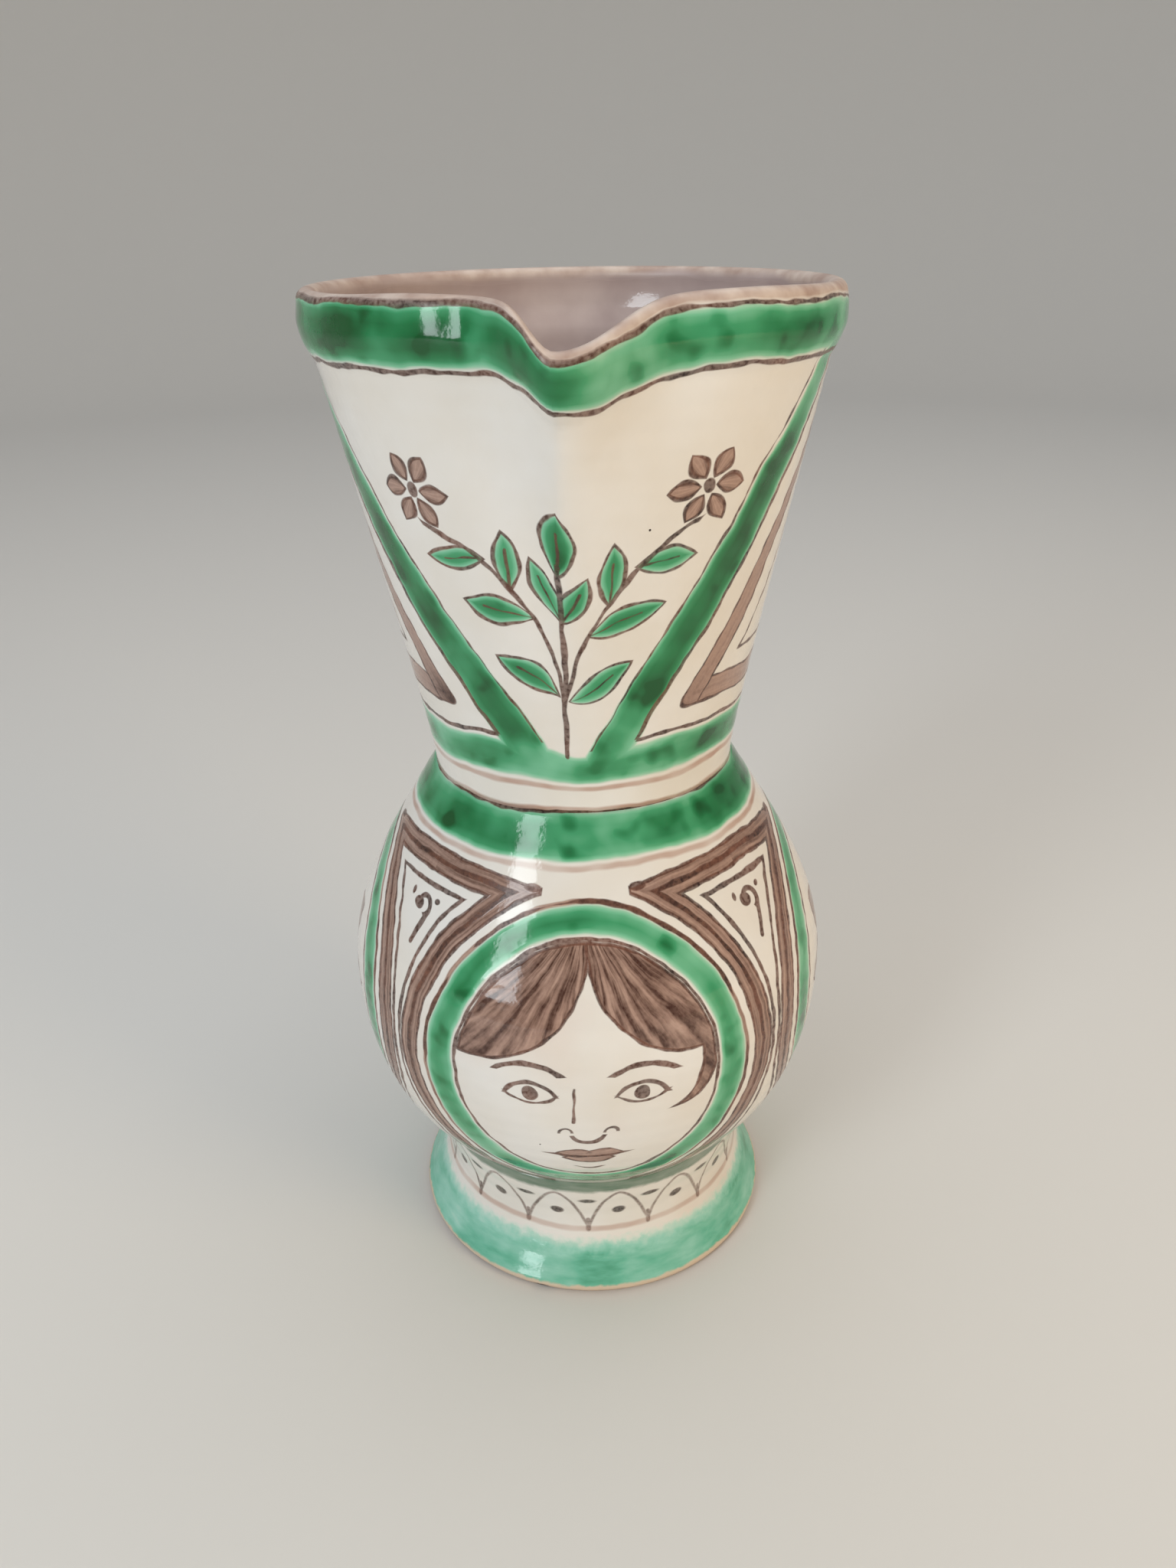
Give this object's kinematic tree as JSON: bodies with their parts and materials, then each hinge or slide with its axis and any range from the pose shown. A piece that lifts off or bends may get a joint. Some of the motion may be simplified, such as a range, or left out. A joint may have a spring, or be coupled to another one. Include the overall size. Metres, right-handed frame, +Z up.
{
  "type": "jug",
  "caption": "Glazed earthenware jug with a flared foot, round belly, flared neck with a pulled pouring lip and a strap handle, painted with bands, stripes and a face medallion.",
  "frame": {"origin": "middle of the foot, on the plane that the jug stands on", "axes": "+Z up along the throwing axis, -Y to the pouring lip and the face, +Y to the handle"},
  "size_m": [0.143, 0.188, 0.2859],
  "materials": {
    "white_glaze": "glossy cream tin glaze over earthenware, painted in green and brown",
    "pale_green_glaze": "glossy pale green brushed over white glaze",
    "inner_glaze": "thin greyish glaze, glossy",
    "bare_clay": "unglazed fired clay, matte"
  },
  "bodies": {
    "root": {"foot_ring": "pale_green_glaze", "foot_seam_coil": "bare_clay", "belly": "white_glaze", "neck_seam_coil": "inner_glaze", "neck": "white_glaze", "handle_strap": "white_glaze", "upper_handle_pad": "white_glaze", "lower_handle_pad": "white_glaze"}
  },
  "joints": []
}
